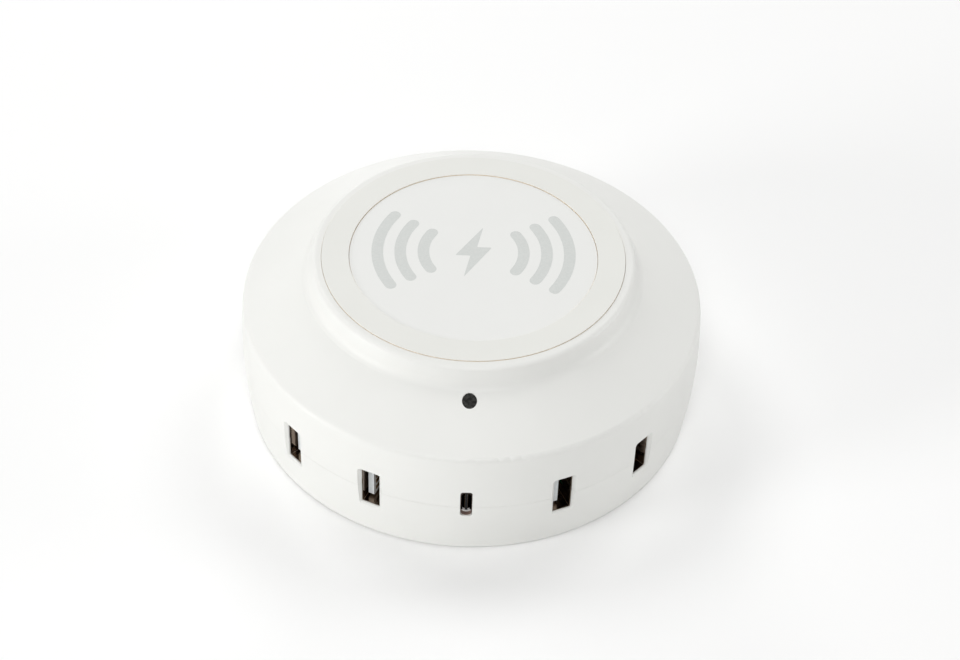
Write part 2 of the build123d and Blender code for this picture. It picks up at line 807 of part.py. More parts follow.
def make_power_device(sink_place, side):
    """Three-legged power device clamped flat against its heat sink."""
    body_bottom = power_board_top + power_device_leg
    across = sink_place[0] + side * (sink_thickness + power_device_size[0]) / 2
    device = block(power_device_size, (across, sink_place[1]), body_bottom)
    tab_across = sink_place[0] + side * (sink_thickness + power_device_tab[0]) / 2
    tab_bottom = body_bottom + power_device_size[2]
    device += block(power_device_tab, (tab_across, sink_place[1]), tab_bottom)
    leg = (usb_a_sheet, usb_a_tab_width / 2, power_device_leg + small)
    for index in (-1, 0, 1):
        leg_place = (across, sink_place[1] + index * power_device_size[1] / 4)
        device += block(leg, leg_place, power_board_top)
    return device


def make_can_capacitor(radius, height, place):
    """Upright can with a crimped groove near its foot."""
    body = can(radius, height, place, power_board_top)
    groove_bottom = power_board_top + radius / 2
    groove = can(2 * radius, can_groove_width, place, groove_bottom)
    groove -= can(radius - can_groove_depth, can_groove_width, place, groove_bottom)
    top = body.faces().sort_by(Axis.Z)[-1].edges()
    return fillet(top, can_blend) - groove


def make_round_part(radius, thickness, place):
    """Round dipped part that stands on edge on two short legs."""
    centre_height = power_board_top + radius + power_device_leg / 2
    body = Pos(place[0], place[1], centre_height) * Rot(0, 90, 0) * Cylinder(radius, thickness)
    body = fillet(body.edges().filter_by(GeomType.CIRCLE), thickness / 4)
    leg = (usb_a_sheet * 2, usb_a_sheet * 2, power_device_leg)
    for side in (-1, 1):
        body += block(leg, (place[0], place[1] + side * radius / 2), power_board_top)
    return body


def make_coil():
    """Flat coil, its turns showing as ridges on both faces."""
    half = coil_wire / 2
    middle = coil_top - half
    pad = coil_web * coil_wire
    outer = coil_inner_radius + coil_turns * coil_wire
    coil = tube_ring(coil_inner_radius + half, outer - half, middle - pad, middle + pad)
    for index in range(coil_turns):
        radius = coil_inner_radius + (index + 0.5) * coil_wire
        turn = revolve(Plane.XZ * Pos(radius, middle) * Circle(half), Axis.Z, 360)
        coil += turn
    return coil


def make_coil_bracket():
    """Plate that holds the coil and its ferrite up under the pad, with three screwed ears."""
    bracket = tube_ring(0, bracket_radius, bracket_bottom, bracket_top)
    for angle in bracket_ear_angles:
        place = polar(bracket_ear_centre, angle)
        bracket += can(bracket_ear_radius, seat_height - bracket_bottom, place, bracket_bottom)
        arm = Rot(0, 0, angle) * block(
            (2 * bracket_ear_radius, bracket_ear_radius * 2, bracket_thickness),
            (0, -(bracket_ear_centre - bracket_ear_radius)),
            bracket_bottom,
        )
        bracket += arm
        post = polar(coil_post_centre, angle)
        bracket += can(coil_post_radius, coil_board_drop + small, post, coil_board_top)
    for angle in bracket_ear_angles:
        bracket -= can(board_screw_radius, clear_height, polar(bracket_ear_centre, angle), 0)
    return bracket - tube_ring(0, coil_inner_radius / 2, bracket_bottom, bracket_top)


def make_screw(place, top, length, head_radius, head_height, shank_radius, upward=False):
    """Cross-recessed screw; the level given is the underside of its head."""
    direction = -1 if upward else 1
    head = Pos(0, 0, direction * head_height / 2) * Cylinder(head_radius, head_height)
    shank = Pos(0, 0, -direction * length / 2) * Cylinder(shank_radius, length)
    slot_depth = head_height / 2
    slot_level = direction * (head_height - slot_depth / 2)
    slot = Box(head_radius, head_radius / 4, slot_depth) + Box(head_radius / 4, head_radius, slot_depth)
    screw = head + shank - Pos(0, 0, slot_level) * slot
    return Pos(place[0], place[1], top) * screw


def make_wire(points):
    """Insulated lead along straight runs joined by tangent arcs."""
    path = FilletPolyline(*points, radius=wire_bend)
    start = Plane(origin=path @ 0, z_dir=path % 0)
    return sweep(start * Circle(wire_radius), path=path)


# ---- case and pad
save("top_cover", make_top_cover())
save("bottom_shell", make_bottom_shell())
save("pad_ring", make_pad_ring())
save("pad_disc", make_pad_disc())

# ---- sockets and the board they stand on
usb_a_shell = make_usb_a_shell()
usb_a_contacts = make_usb_a_contacts()
usb_a_tongue = make_usb_a_tongue(usb_a_contacts)
soldered = []
for number, slot in enumerate(usb_a_slots, start=1):
    turn = Rot(0, 0, slot * port_pitch)
    save(f"usb_a_shell_{number}", turn * usb_a_shell)
    save(f"usb_a_tongue_{number}", turn * usb_a_tongue)
    save(f"usb_a_contacts_{number}", turn * usb_a_contacts)
    soldered.append(turn * usb_a_shell)
    soldered.append(turn * usb_a_contacts)
raised = Pos(0, 0, usb_c_lift)
save("usb_c_shell", raised * make_usb_c_shell())
save("usb_c_tongue", raised * make_usb_c_tongue())
save("usb_c_contacts", *[raised * contact for contact in make_usb_c_contacts()])
riser_size = (riser_thickness, riser_depth, riser_height)
riser_place = (usb_c_shell_width / 2 + riser_thickness / 2, -riser_radius)
save("usb_c_riser_board", block(riser_size, riser_place, port_board_top))
save("port_board", make_port_board(soldered))
chips = [
    Rot(0, 0, angle) * block(charger_chip_size, (0, -charger_chip_radius), port_board_top)
    for angle in charger_chip_angles
]
save("charge_controllers", *chips)

# ---- indicator light
save("led_light_pipe", make_light_pipe())
save("led_shroud", make_led_shroud())
save("led_lamp", block(lamp_size, polar(light_radius, 0), port_board_top))

# ---- mains supply
inlet_pins = make_inlet_pins()
save("inlet_pins", inlet_pins)
save("mains_inlet", make_mains_inlet() - inlet_pins)
save("power_board", make_power_board())
save("insulation_sheet", make_insulation_sheet())
save("fuse", block(fuse_size, fuse_place, power_board_top))
save("varistor", make_round_part(varistor_radius, varistor_thickness, varistor_place))
save("film_capacitor", block(film_capacitor_size, film_capacitor_place, power_board_top))
choke_core = make_choke_core()
save("choke_core", choke_core)
save("choke_windings", *make_choke_windings(choke_core))
save("bridge_rectifier", block(bridge_size, bridge_place, power_board_top))
bulk_cans = [make_can_capacitor(bulk_radius, bulk_height, place) for place in bulk_places]
save("bulk_capacitors", *bulk_cans)
save("transformer_core", make_transformer_core())
save("transformer_bobbin", make_transformer_bobbin())
save("transformer_winding", make_transformer_winding())
save("primary_heat_sink", make_heat_sink(primary_sink_length, primary_sink_place, -1))
save("switching_transistor", make_power_device(primary_sink_place, 1))
save("output_heat_sink", make_heat_sink(output_sink_length, output_sink_place, -1))
save("output_rectifier", make_power_device(output_sink_place, 1))
output_cans = [
    make_can_capacitor(output_can_radius, output_can_height, place) for place in output_can_places
]
save("output_capacitors", *output_cans)
inductor = block(inductor_size, inductor_place, power_board_top)
save("output_inductor", fillet(inductor.edges().filter_by(Axis.Z), inductor_blend))
save("optocoupler", block(optocoupler_size, optocoupler_place, power_board_top))
save(
    "safety_capacitor",
    make_round_part(safety_capacitor_radius, safety_capacitor_thickness, safety_capacitor_place),
)
save("buck_converter_chip", block(buck_chip_size, buck_chip_place, power_board_top))

# ---- wireless charging module
save("charging_coil", make_coil())
save("ferrite_disc", tube_ring(0, ferrite_radius, ferrite_bottom, ferrite_top))
save("coil_bracket", make_coil_bracket())
save("coil_board", tube_ring(0, coil_board_radius, coil_board_bottom, coil_board_top))
coil_chip_bottom = coil_board_bottom - coil_chip_size[2]
save("wireless_controller", block(coil_chip_size, coil_chip_place, coil_chip_bottom))
capacitors = [
    block(coil_capacitor_size, place, coil_board_bottom - coil_capacitor_size[2])
    for place in coil_capacitor_places
]
save("coil_capacitors", *capacitors)

# ---- leads
supply_wires = []
for index in range(supply_wire_count):
    start = (supply_wire_start[0] + index * wire_pitch, supply_wire_start[1])
    end = polar(supply_wire_end_radius, supply_wire_end_angle - index * supply_wire_fan)
    top = power_board_top + supply_wire_rise
    corners = [(*start, power_board_top), (*start, top), (*end, top), (*end, port_board_top)]
    supply_wires.append(make_wire(corners))
save("supply_wires", *supply_wires)
module_wires = []
for index in range(module_wire_count):
    start = (module_wire_start[0], module_wire_start[1] + index * wire_pitch)
    end = (module_wire_end[0], module_wire_end[1] + index * wire_pitch)
    top = coil_board_bottom - module_wire_drop
    corners = [(*start, power_board_top), (*start, top), (*end, top), (*end, coil_board_bottom)]
    module_wires.append(make_wire(corners))
save("module_wires", *module_wires)

# ---- feet and fasteners
feet = []
for place in post_places:
    foot = can(foot_radius, foot_height, place, 0)
    feet.append(fillet(foot.faces().sort_by(Axis.Z)[0].edges(), foot_blend))
save("rubber_feet", *feet)
case_screws = [
    make_screw(
        place,
        case_bottom + well_depth,
        case_screw_length,
        case_screw_head_radius,
        case_screw_head_height,
        case_screw_radius,
        upward=True,
    )
    for place in post_places
]
save("case_screws", *case_screws)
board_screws = [
    make_screw(
        place,
        level,
        board_screw_length,
        board_screw_head_radius,
        board_screw_head_height,
        board_screw_radius,
    )
    for places, level in ((power_screw_places, power_board_top), (port_screw_places, port_board_top))
    for place in places
]
save("board_screws", *board_screws)
bracket_screws = [
    make_screw(
        polar(bracket_ear_centre, angle),
        bracket_bottom,
        bracket_screw_length,
        board_screw_head_radius,
        board_screw_head_height,
        board_screw_radius,
        upward=True,
    )
    for angle in bracket_ear_angles
]
save("bracket_screws", *bracket_screws)
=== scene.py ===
import json
from math import cos, pi, radians, sin

import bmesh
import bpy
from mathutils import Matrix, Vector


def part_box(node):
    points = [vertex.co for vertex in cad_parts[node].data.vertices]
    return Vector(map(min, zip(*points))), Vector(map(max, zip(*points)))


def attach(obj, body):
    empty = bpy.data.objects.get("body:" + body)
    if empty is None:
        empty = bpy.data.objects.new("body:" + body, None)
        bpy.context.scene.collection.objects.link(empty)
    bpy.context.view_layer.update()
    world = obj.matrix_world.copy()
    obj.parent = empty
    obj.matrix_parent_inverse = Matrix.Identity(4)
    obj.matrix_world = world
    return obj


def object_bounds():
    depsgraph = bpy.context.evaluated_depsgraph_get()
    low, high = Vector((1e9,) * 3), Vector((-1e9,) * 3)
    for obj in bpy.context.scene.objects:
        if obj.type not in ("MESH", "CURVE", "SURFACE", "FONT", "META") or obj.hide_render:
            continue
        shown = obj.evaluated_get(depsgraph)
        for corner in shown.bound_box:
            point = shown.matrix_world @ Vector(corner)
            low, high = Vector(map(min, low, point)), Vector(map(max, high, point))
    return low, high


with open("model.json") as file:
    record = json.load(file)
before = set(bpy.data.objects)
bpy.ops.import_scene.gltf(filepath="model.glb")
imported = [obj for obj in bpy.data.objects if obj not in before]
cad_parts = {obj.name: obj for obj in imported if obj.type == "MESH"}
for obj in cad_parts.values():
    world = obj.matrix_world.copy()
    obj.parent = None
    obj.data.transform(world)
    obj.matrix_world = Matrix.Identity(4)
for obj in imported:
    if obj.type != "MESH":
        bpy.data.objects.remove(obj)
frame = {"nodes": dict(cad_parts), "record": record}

# Round desktop charging hub. Everything is in metres in the CAD frame: the hub stands on
# z = 0, its sockets face -Y.

MM = 0.001
cad_low, cad_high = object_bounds()
scene = bpy.context.scene
nodes = frame["nodes"]

# ---- camera, as the hub is seen: from the front and well above, slightly rolled
camera_elevation = radians(43.71)
camera_yaw = radians(-0.62)
camera_roll = radians(-2.19)
camera_distance = 649.7 * MM
camera_aim = Vector((2.64 * MM, 0.0, cad_high.z - 29.73 * MM))
sensor_width = 36.0
lens_length = 83.07

# ---- lights: an even white surround, three low lamps that light the wall and three high ones
# that light the top, each with its direction round the hub (0 is the front, 90 the right) and
# its power. The strongest is low at the front left.
surround_strength = 0.24
lamp_distance = 1.3
lamp_aim = Vector((0.0, 0.0, 0.03))
low_elevation = radians(12.0)
high_elevation = radians(50.0)
low_width = 0.45
high_width = 0.6
low_lamps = {"front_left": (295, 7.0), "right": (90, 3.0), "back": (190, 3.5)}
high_lamps = {"front": (0, 6.5), "back_right": (140, 4.0), "back_left": (225, 4.0)}

# ---- pictogram printed on the pad
print_thickness = 0.03 * MM
print_offset = 1.3 * MM
arc_radii = (14.3 * MM, 20.9 * MM, 27.4 * MM)
arc_width = 3.3 * MM
arc_half_angle = radians(33.0)
arc_steps = 28
cap_steps = 8
bolt_outline = ((2.6, 10.6), (-5.2, -1.6), (-0.9, -1.6), (-2.6, -10.6), (5.2, 2.0), (0.9, 2.0))
bolt_corner = 0.45 * MM

# ---- fine gaps round the pad, with painted warm shade down in them, where light reaches only by bouncing through warm plastic
ring_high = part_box("pad_ring")[1]
disc_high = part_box("pad_disc")[1]
gap_centre = 0.05 * MM
gap_half_width = 0.2 * MM
gap_fade = 0.25 * MM
gap_painted_shade = (0.80, 0.69, 0.54)
outer_gap_radius = ring_high.x + gap_centre
inner_gap_radius = disc_high.x + gap_centre

# ---- painted highlight: a pale sill across the foot of the USB-C mouth, with brown shade painted on the apron before it
usb_c_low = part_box("usb_c_shell")[0]
sill_front = usb_c_low.y + 1.15 * MM
sill_back = usb_c_low.y + 2.05 * MM
sill_top = usb_c_low.z + 0.95 * MM
sill_painted_highlight = (0.88, 0.87, 0.85)
apron_painted_shade = (0.19, 0.125, 0.10)
sill_roughness = 0.5

# ---- finishes: colours, the sizes of their grain, and how far their gloss varies
case_white = (0.805, 0.807, 0.78)
case_shade = (0.79, 0.792, 0.765)
ring_white = (0.778, 0.78, 0.743)
ring_shade = (0.763, 0.765, 0.728)
pad_white = (0.80, 0.804, 0.783)
pad_shade = (0.79, 0.793, 0.772)
ink_grey = (0.64, 0.655, 0.635)
ink_shade = (0.60, 0.62, 0.60)
table_white = (0.943, 0.943, 0.938)
table_shade = (0.933, 0.933, 0.928)
noise_range = (0.3, 0.7)
grain_range = (0.35, 0.65)
fleck_range = (0.62, 0.75)
tarnish_range = (0.35, 0.7)
haze_range = (0.35, 0.75)
track_range = (0.06, 0.12)
pad_range = (0.10, 0.14)
fine_detail = 4.0
soft_detail = 2.0
cloud_size = 18 * MM
fleck_size = 1.2 * MM
fleck_amount = 0.25
polish_size = 6 * MM
polish_swing = 0.04
spark_size = 0.45 * MM
spark_height = 0.004 * MM
spark_strength = 0.35
grain_height = 0.02 * MM
grain_strength = 0.4
coarse_swing = 0.08
drawn_size = 0.12 * MM
drawn_stretch = 0.04
drawn_height = 0.004 * MM
drawn_strength = 0.5
tarnish_size = 2.5 * MM
tarnish_darkening = 0.8
track_size = 5 * MM
pad_spacing = 3.2 * MM
solder_height = 0.03 * MM
solder_strength = 0.6
solder_mask = (0.012, 0.11, 0.045)
mask_over_copper = (0.03, 0.19, 0.075)
tinned_pad = (0.62, 0.63, 0.64)
mask_roughness = 0.32
pad_roughness = 0.22
streak_size = 2 * MM
streak_amount = 0.3
wire_height = 0.1 * MM
wire_strength = 0.7
wire_shadow = 0.45
enamel_metallic = 0.8
enamel_roughness = (0.25, 0.4)
haze_size = 0.9 * MM
haze_strength = 0.3
acrylic_black = (0.006, 0.006, 0.005)
acrylic_haze = (0.03, 0.03, 0.026)
acrylic_roughness = (0.22, 0.4)
ink_grain = 0.5 * MM
ink_height = 0.003 * MM
ink_roughness = (0.5, 0.62)
table_cloud_size = 250 * MM
table_roughness = (0.6, 0.7)
hard_edge_angle = radians(32.0)

# ---- stage
floor_size = 8.0
nearest_view = 0.01
farthest_view = 20.0


# ---------------------------------------------------------------- node helpers
def node(tree, kind, inputs=None, **settings):
    """Add one shader node; an input given as a socket is linked, anything else is set."""
    made = tree.nodes.new(kind)
    for key, value in settings.items():
        setattr(made, key, value)
    for key, value in (inputs or {}).items():
        if isinstance(value, bpy.types.NodeSocket):
            tree.links.new(value, made.inputs[key])
        else:
            made.inputs[key].default_value = value
    return made


def start(name):
    """A new node material, with its tree, its shader and the object coordinates."""
    material = bpy.data.materials.new(name)
    material.use_nodes = True
    tree = material.node_tree
    shader = tree.nodes["Principled BSDF"]
    place = tree.nodes.new("ShaderNodeTexCoord").outputs["Object"]
    return material, tree, shader, place


def mix(tree, factor, first, second):
    """Blend two colours by a factor."""
    made = node(tree, "ShaderNodeMix", data_type="RGBA")
    for index, value in ((0, factor), (6, first), (7, second)):
        if isinstance(value, bpy.types.NodeSocket):
            tree.links.new(value, made.inputs[index])
        elif index:
            made.inputs[index].default_value = (*value, 1.0)
        else:
            made.inputs[index].default_value = value
    return made.outputs[2]


def noise(tree, place, size, detail=3.0, roughness=0.5):
    """Cloudy noise whose features are about the given size."""
    inputs = {"Vector": place, "Scale": 1.0 / size, "Detail": detail, "Roughness": roughness}
    return node(tree, "ShaderNodeTexNoise", inputs).outputs["Fac"]


def spread(tree, value, low, high, to_low=0.0, to_high=1.0, smooth=False):
    """Map a value from one range to another."""
    inputs = {0: value, 1: low, 2: high, 3: to_low, 4: to_high}
    made = node(tree, "ShaderNodeMapRange")
    made.interpolation_type = "SMOOTHSTEP" if smooth else "LINEAR"
    for index, entry in inputs.items():
        if isinstance(entry, bpy.types.NodeSocket):
            tree.links.new(entry, made.inputs[index])
        else:
            made.inputs[index].default_value = entry
    return made.outputs[0]


def maths(tree, operation, *values):
    """One maths node."""
    made = node(tree, "ShaderNodeMath", operation=operation)
    for index, entry in enumerate(values):
        if isinstance(entry, bpy.types.NodeSocket):
            tree.links.new(entry, made.inputs[index])
        else:
            made.inputs[index].default_value = entry
    return made.outputs[0]


def bump(tree, shader, height, distance, strength=1.0):
    """Relief on the shader's normal."""
    inputs = {"Height": height, "Distance": distance, "Strength": strength}
    made = node(tree, "ShaderNodeBump", inputs)
    tree.links.new(made.outputs["Normal"], shader.inputs["Normal"])


def axis_distance(tree, place):
    """Distance from the hub's upright axis."""
    flat = node(tree, "ShaderNodeVectorMath", {0: place, 1: (1.0, 1.0, 0.0)}, operation="MULTIPLY")
    length = node(tree, "ShaderNodeVectorMath", {0: flat.outputs[0]}, operation="LENGTH")
    return length.outputs["Value"]


# ---------------------------------------------------------------- materials
def moulded_plastic(name, colour, shade, roughness, gaps=()):
    """Matt moulded plastic: faint clouding, fine spark texture, painted warm shade down in the
    gaps.
    """
    material, tree, shader, place = start(name)
    cloud = spread(tree, noise(tree, place, cloud_size), *noise_range)
    surface = mix(tree, cloud, shade, colour)
    fleck = spread(tree, noise(tree, place, fleck_size, fine_detail), *fleck_range)
    surface = mix(tree, maths(tree, "MULTIPLY", fleck, fleck_amount), surface, shade)
    # paint warm shade into the base colour down each gap
    for radius, top in gaps:
        offset = maths(tree, "SUBTRACT", axis_distance(tree, place), radius)
        away = maths(tree, "ABSOLUTE", offset)
        near = maths(tree, "LESS_THAN", away, gap_half_width)
        height = node(tree, "ShaderNodeSeparateXYZ", {"Vector": place}).outputs["Z"]
        deep = spread(tree, height, top, top - gap_fade)
        surface = mix(tree, maths(tree, "MULTIPLY", near, deep), surface, gap_painted_shade)
    tree.links.new(surface, shader.inputs["Base Color"])
    smooth, rough = roughness - polish_swing, roughness + polish_swing
    polish = spread(tree, noise(tree, place, polish_size), *noise_range, smooth, rough)
    tree.links.new(polish, shader.inputs["Roughness"])
    bump(tree, shader, noise(tree, place, spark_size, soft_detail), spark_height, spark_strength)
    return material


def plain_moulding(name, colour, roughness, grain_size=0.6 * MM, variation=0.25, shine=0.5):
    """Darker or coloured moulded plastic, rubber and epoxy, with visible grain."""
    material, tree, shader, place = start(name)
    shader.inputs["Specular IOR Level"].default_value = shine
    dark = tuple(channel * (1.0 - variation) for channel in colour)
    grain = spread(tree, noise(tree, place, grain_size, fine_detail), *grain_range)
    tree.links.new(mix(tree, grain, dark, colour), shader.inputs["Base Color"])
    smooth, rough = roughness - coarse_swing, roughness + coarse_swing
    polish = spread(tree, noise(tree, place, 4 * grain_size), *noise_range, smooth, rough)
    tree.links.new(polish, shader.inputs["Roughness"])
    bump(tree, shader, grain, grain_height, grain_strength)
    return material


def sheet_metal(name, colour, roughness, along="Z"):
    """Plated or bare metal with fine drawn lines along one axis and slight tarnish."""
    material, tree, shader, place = start(name)
    stretch = tuple(drawn_stretch if axis == along else 1.0 for axis in "XYZ")
    drawn = node(tree, "ShaderNodeVectorMath", {0: place, 1: stretch}, operation="MULTIPLY")
    lines = noise(tree, drawn.outputs[0], drawn_size)
    tarnish = spread(tree, noise(tree, place, tarnish_size), *tarnish_range)
    dull = tuple(channel * tarnish_darkening for channel in colour)
    tree.links.new(mix(tree, tarnish, colour, dull), shader.inputs["Base Color"])
    shader.inputs["Metallic"].default_value = 1.0
    smooth, rough = roughness - coarse_swing, roughness + coarse_swing
    polish = spread(tree, lines, *noise_range, smooth, rough)
    tree.links.new(polish, shader.inputs["Roughness"])
    bump(tree, shader, lines, drawn_height, drawn_strength)
    return material


def sill_metal(name, colour, roughness):
    """Sheet metal with a painted highlight as a pale matt sill, and painted brown shade on an apron
    at the foot of its mouth.
    """
    material = sheet_metal(name, colour, roughness)
    tree = material.node_tree
    shader = tree.nodes["Principled BSDF"]
    place = tree.nodes.new("ShaderNodeTexCoord").outputs["Object"]
    split = node(tree, "ShaderNodeSeparateXYZ", {"Vector": place})
    before = maths(tree, "LESS_THAN", split.outputs["Y"], sill_back)
    below = maths(tree, "LESS_THAN", split.outputs["Z"], sill_top)
    foot = maths(tree, "MULTIPLY", before, below)
    behind = maths(tree, "GREATER_THAN", split.outputs["Y"], sill_front)
    metal = shader.inputs["Base Color"].links[0].from_socket
    # paint the highlight on the sill and the shade on the apron into the base colour
    painted = mix(tree, foot, metal, mix(tree, behind, apron_painted_shade, sill_painted_highlight))
    tree.links.new(painted, shader.inputs["Base Color"])
    tree.links.new(spread(tree, foot, 0.0, 1.0, 1.0, 0.0), shader.inputs["Metallic"])
    polish = shader.inputs["Roughness"].links[0].from_socket
    matt = maths(tree, "MULTIPLY", foot, sill_roughness)
    tree.links.new(maths(tree, "MAXIMUM", polish, matt), shader.inputs["Roughness"])
    return material


def circuit_board(name):
    """Green soldermask with copper tracks showing through and tinned pads."""
    material, tree, shader, place = start(name)
    cells = node(tree, "ShaderNodeTexVoronoi", {"Vector": place, "Scale": 1.0 / track_size})
    cells.feature = "DISTANCE_TO_EDGE"
    cells.distance = "MANHATTAN"
    tracks = spread(tree, cells.outputs["Distance"], *track_range, 1.0, 0.0)
    surface = mix(tree, tracks, solder_mask, mask_over_copper)
    dots = node(tree, "ShaderNodeTexVoronoi", {"Vector": place, "Scale": 1.0 / pad_spacing})
    pads = spread(tree, dots.outputs["Distance"], *pad_range, 1.0, 0.0)
    surface = mix(tree, pads, surface, tinned_pad)
    tree.links.new(surface, shader.inputs["Base Color"])
    polish = spread(tree, pads, 0.0, 1.0, mask_roughness, pad_roughness)
    tree.links.new(polish, shader.inputs["Roughness"])
    tree.links.new(pads, shader.inputs["Metallic"])
    bump(tree, shader, maths(tree, "ADD", tracks, pads), solder_height, solder_strength)
    return material


def wound_wire(name, colour, pitch, rings=False):
    """Enamelled wire laid side by side."""
    material, tree, shader, place = start(name)
    if rings:
        distance = axis_distance(tree, place)
    else:
        distance = node(tree, "ShaderNodeSeparateXYZ", {"Vector": place}).outputs["Z"]
    turns = maths(tree, "SINE", maths(tree, "MULTIPLY", distance, 2 * pi / pitch))
    relief = spread(tree, turns, -1.0, 1.0)
    streak = noise(tree, place, streak_size)
    dark = tuple(channel * wire_shadow for channel in colour)
    # painted shade: the colour darkens between the turns; the streaks darken it further at random
    laid = mix(tree, relief, dark, colour)
    worn = mix(tree, maths(tree, "MULTIPLY", streak, streak_amount), laid, dark)
    tree.links.new(worn, shader.inputs["Base Color"])
    shader.inputs["Metallic"].default_value = enamel_metallic
    polish = spread(tree, streak, *noise_range, *enamel_roughness)
    tree.links.new(polish, shader.inputs["Roughness"])
    bump(tree, shader, relief, wire_height, wire_strength)
    return material


def smoked_acrylic(name):
    """Dark acrylic: nearly black, glossy, with faint cloudy depth."""
    material, tree, shader, place = start(name)
    haze = spread(tree, noise(tree, place, haze_size), *haze_range)
    depth = mix(tree, haze, acrylic_black, acrylic_haze)
    tree.links.new(depth, shader.inputs["Base Color"])
    polish = spread(tree, haze, 0.0, 1.0, *acrylic_roughness)
    tree.links.new(polish, shader.inputs["Roughness"])
    bump(tree, shader, haze, grain_height, haze_strength)
    return material


def printed_ink(name):
    """Pale grey pad-printed ink with a slightly broken surface."""
    material, tree, shader, place = start(name)
    speck = spread(tree, noise(tree, place, ink_grain, fine_detail), *grain_range)
    tree.links.new(mix(tree, speck, ink_shade, ink_grey), shader.inputs["Base Color"])
    polish = spread(tree, speck, 0.0, 1.0, *ink_roughness)
    tree.links.new(polish, shader.inputs["Roughness"])
    bump(tree, shader, speck, ink_height, grain_strength)
    return material


def table_surface(name):
    """Smooth pale table with faint broad clouding."""
    material, tree, shader, place = start(name)
    cloud = noise(tree, place, table_cloud_size)
    tree.links.new(mix(tree, cloud, table_shade, table_white), shader.inputs["Base Color"])
    polish = spread(tree, cloud, *noise_range, *table_roughness)
    tree.links.new(polish, shader.inputs["Roughness"])
    return material


def make_materials():
    """One material for each slot of the record, and one for the USB-C shell."""
    case_gaps = [(outer_gap_radius, disc_high.z)]
    ring_gaps = [(outer_gap_radius, ring_high.z), (inner_gap_radius, ring_high.z)]
    pad_gaps = [(inner_gap_radius, disc_high.z)]
    return {
        "case_plastic": moulded_plastic("case_plastic", case_white, case_shade, 0.5, case_gaps),
        "ring_plastic": moulded_plastic("ring_plastic", ring_white, ring_shade, 0.48, ring_gaps),
        "pad_plastic": moulded_plastic("pad_plastic", pad_white, pad_shade, 0.5, pad_gaps),
        "smoked_acrylic": smoked_acrylic("smoked_acrylic"),
        "foot_rubber": plain_moulding("foot_rubber", (0.16, 0.16, 0.165), 0.75, 0.4 * MM),
        "screw_steel": sheet_metal("screw_steel", (0.52, 0.53, 0.55), 0.32, "X"),
        "socket_metal": sheet_metal("socket_metal", (0.30, 0.225, 0.17), 0.13),
        "usb_c_metal": sill_metal("usb_c_metal", (0.13, 0.10, 0.088), 0.25),
        "socket_insulator": plain_moulding(
            "socket_insulator", (0.76, 0.80, 0.81), 0.5, 0.8 * MM, 0.06
        ),
        "socket_black": plain_moulding("socket_black", (0.012, 0.012, 0.013), 0.5, shine=0.15),
        "contact_gold": sheet_metal("contact_gold", (0.30, 0.215, 0.12), 0.4, "Y"),
        "board_green": circuit_board("board_green"),
        "part_black": plain_moulding("part_black", (0.03, 0.03, 0.033), 0.5),
        "film_yellow": plain_moulding("film_yellow", (0.68, 0.50, 0.06), 0.4),
        "fuse_brown": plain_moulding("fuse_brown", (0.16, 0.08, 0.05), 0.45),
        "dipped_blue": plain_moulding("dipped_blue", (0.04, 0.13, 0.40), 0.3, 1.0 * MM),
        "can_sleeve": plain_moulding("can_sleeve", (0.03, 0.045, 0.11), 0.25, 1.5 * MM),
        "ferrite": plain_moulding("ferrite", (0.07, 0.07, 0.075), 0.6, 0.25 * MM),
        "copper_wire": wound_wire("copper_wire", (0.72, 0.32, 0.14), 1.3 * MM, rings=True),
        "winding_tape": wound_wire("winding_tape", (0.78, 0.60, 0.10), 2.4 * MM),
        "heat_sink": sheet_metal("heat_sink", (0.70, 0.71, 0.73), 0.38),
        "insulation": plain_moulding("insulation", (0.66, 0.63, 0.52), 0.7, 1.5 * MM, 0.12),
        "moulding_white": plain_moulding("moulding_white", (0.74, 0.74, 0.72), 0.5, 0.8 * MM, 0.05),
        "lamp": plain_moulding("lamp", (0.72, 0.74, 0.70), 0.3, 0.3 * MM, 0.1),
        "wire_insulation": plain_moulding("wire_insulation", (0.48, 0.03, 0.025), 0.42, 1.0 * MM),
    }


def dress_nodes(materials):
    """Give every CAD node the material of its slot, and smooth shading between its hard edges."""
    for entry in frame["record"]["subparts"]:
        part = nodes[entry["node"]]
        part.data.materials.clear()
        finish = "usb_c_metal" if entry["node"] == "usb_c_shell" else entry["material_slot"]
        part.data.materials.append(materials[finish])
        for polygon in part.data.polygons:
            polygon.use_smooth = True
        edges = part.modifiers.new("hard_edges", "EDGE_SPLIT")
        edges.split_angle = hard_edge_angle


# ---------------------------------------------------------------- pictogram
def flat_piece(name, outline, bottom, thickness, material, corner=0.0):
    """A thin printed piece from its outline, standing just proud of the pad."""
    mesh = bpy.data.meshes.new(name)
    made = bmesh.new()
    ring = [made.verts.new((x, y, bottom)) for x, y in outline]
    face = made.faces.new(ring)
    if corner:
        bmesh.ops.bevel(
            made, geom=list(made.verts), offset=corner, segments=4, affect="VERTICES", profile=0.5
        )
        face = made.faces[:][0]
    raised = bmesh.ops.extrude_face_region(made, geom=[face])
    tops = [item for item in raised["geom"] if isinstance(item, bmesh.types.BMVert)]
    bmesh.ops.translate(made, verts=tops, vec=(0.0, 0.0, thickness))
    bmesh.ops.recalc_face_normals(made, faces=made.faces[:])
    made.to_mesh(mesh)
    made.free()
    piece = bpy.data.objects.new(name, mesh)
    scene.collection.objects.link(piece)
    piece.data.materials.append(material)
    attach(piece, "root")
    return piece


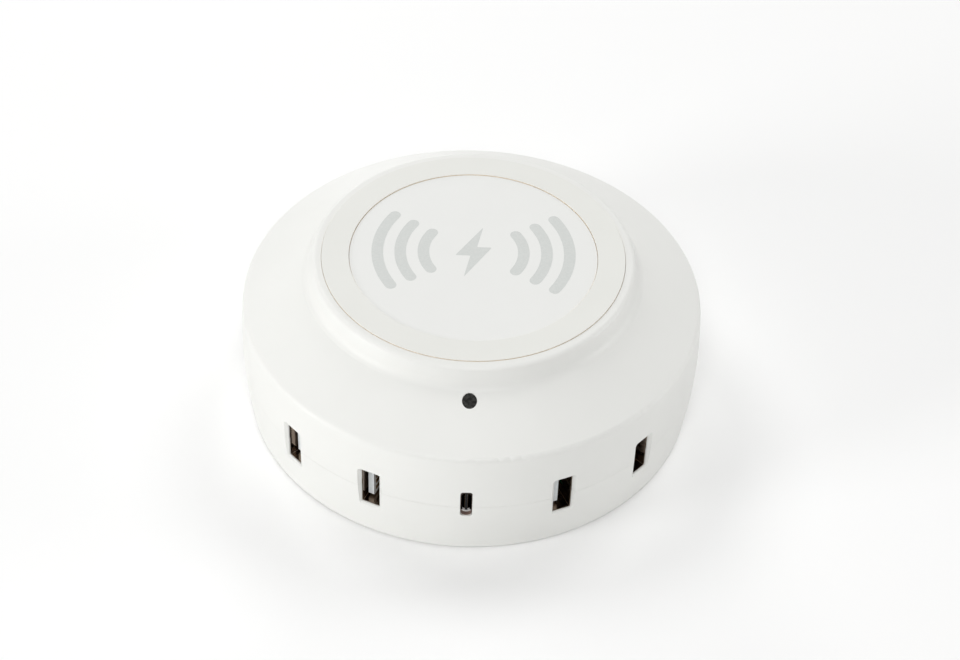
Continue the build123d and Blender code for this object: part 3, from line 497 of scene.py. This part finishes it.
def arc_outline(radius, side):
    """Outline of one curved band with round ends."""
    half = arc_width / 2
    points = []
    for step in range(arc_steps + 1):
        angle = arc_half_angle * (2 * step / arc_steps - 1)
        points.append(((radius + half) * cos(angle), (radius + half) * sin(angle)))
    for step in range(1, cap_steps):
        turn = arc_half_angle + pi * step / cap_steps
        points.append(
            (
                radius * cos(arc_half_angle) + half * cos(turn),
                radius * sin(arc_half_angle) + half * sin(turn),
            )
        )
    for step in range(arc_steps + 1):
        angle = arc_half_angle * (1 - 2 * step / arc_steps)
        points.append(((radius - half) * cos(angle), (radius - half) * sin(angle)))
    for step in range(1, cap_steps):
        turn = pi - arc_half_angle + pi * step / cap_steps
        points.append(
            (
                radius * cos(arc_half_angle) + half * cos(turn),
                -radius * sin(arc_half_angle) + half * sin(turn),
            )
        )
    return [(side * x, y + print_offset) for x, y in points]


def make_pictogram(material):
    """A plain lightning bolt between three plain arcs a side: generic charging signs."""
    bottom = disc_high.z - print_thickness / 3
    bolt = [(x * MM, y * MM + print_offset) for x, y in bolt_outline]
    flat_piece("printed_bolt", bolt, bottom, print_thickness, material, bolt_corner)
    for side, word in ((-1, "left"), (1, "right")):
        for number, radius in enumerate(arc_radii, start=1):
            outline = arc_outline(radius, side)
            flat_piece(f"printed_arc_{word}_{number}", outline, bottom, print_thickness, material)


# ---------------------------------------------------------------- stage, lights, camera
def make_floor():
    """Pale table that runs past the edge of the view."""
    bpy.ops.mesh.primitive_grid_add(x_subdivisions=8, y_subdivisions=8, size=floor_size)
    floor = bpy.context.object
    floor.name = "table_top"
    floor.data.materials.append(table_surface("table_surface"))


def make_surround():
    """An even white studio round the hub."""
    world = bpy.data.worlds.new("surround")
    scene.world = world
    world.use_nodes = True
    backdrop = world.node_tree.nodes["Background"]
    backdrop.inputs["Color"].default_value = (1.0, 1.0, 1.0, 1.0)
    backdrop.inputs["Strength"].default_value = surround_strength


def make_lamps(level, lamps, elevation, width):
    """Soft round lamps at one height that all face the hub."""
    for side, (azimuth, watts) in lamps.items():
        name = f"{side}_{level}_lamp"
        data = bpy.data.lights.new(name, "AREA")
        data.shape = "DISK"
        data.size = width
        data.energy = watts
        turn = radians(azimuth)
        outward = Vector(
            (sin(turn) * cos(elevation), -cos(turn) * cos(elevation), sin(elevation))
        )
        made = bpy.data.objects.new(name, data)
        made.location = lamp_aim + lamp_distance * outward
        made.rotation_mode = "QUATERNION"
        made.rotation_quaternion = (-outward).to_track_quat("-Z", "Y")
        scene.collection.objects.link(made)


def make_camera():
    """The camera looks down at the pad from the front."""
    data = bpy.data.cameras.new("camera")
    data.sensor_width = sensor_width
    data.lens = lens_length
    data.clip_start = nearest_view
    data.clip_end = farthest_view
    camera = bpy.data.objects.new("camera", data)
    turn = Matrix.Rotation(camera_yaw, 3, "Z")
    forward = turn @ Vector((0.0, cos(camera_elevation), -sin(camera_elevation)))
    right = turn @ Vector((1.0, 0.0, 0.0))
    up = right.cross(forward)
    rolled_right = cos(camera_roll) * right - sin(camera_roll) * up
    rolled_up = sin(camera_roll) * right + cos(camera_roll) * up
    facing = Matrix((rolled_right, rolled_up, -forward)).transposed()
    place = turn @ camera_aim - camera_distance * forward
    camera.matrix_world = Matrix.Translation(place) @ facing.to_4x4()
    scene.collection.objects.link(camera)
    scene.camera = camera


materials = make_materials()
dress_nodes(materials)
make_pictogram(printed_ink("printed_ink"))
make_floor()
make_surround()
make_lamps("low", low_lamps, low_elevation, low_width)
make_lamps("high", high_lamps, high_elevation, high_width)
make_camera()
scene.view_settings.view_transform = "Standard"
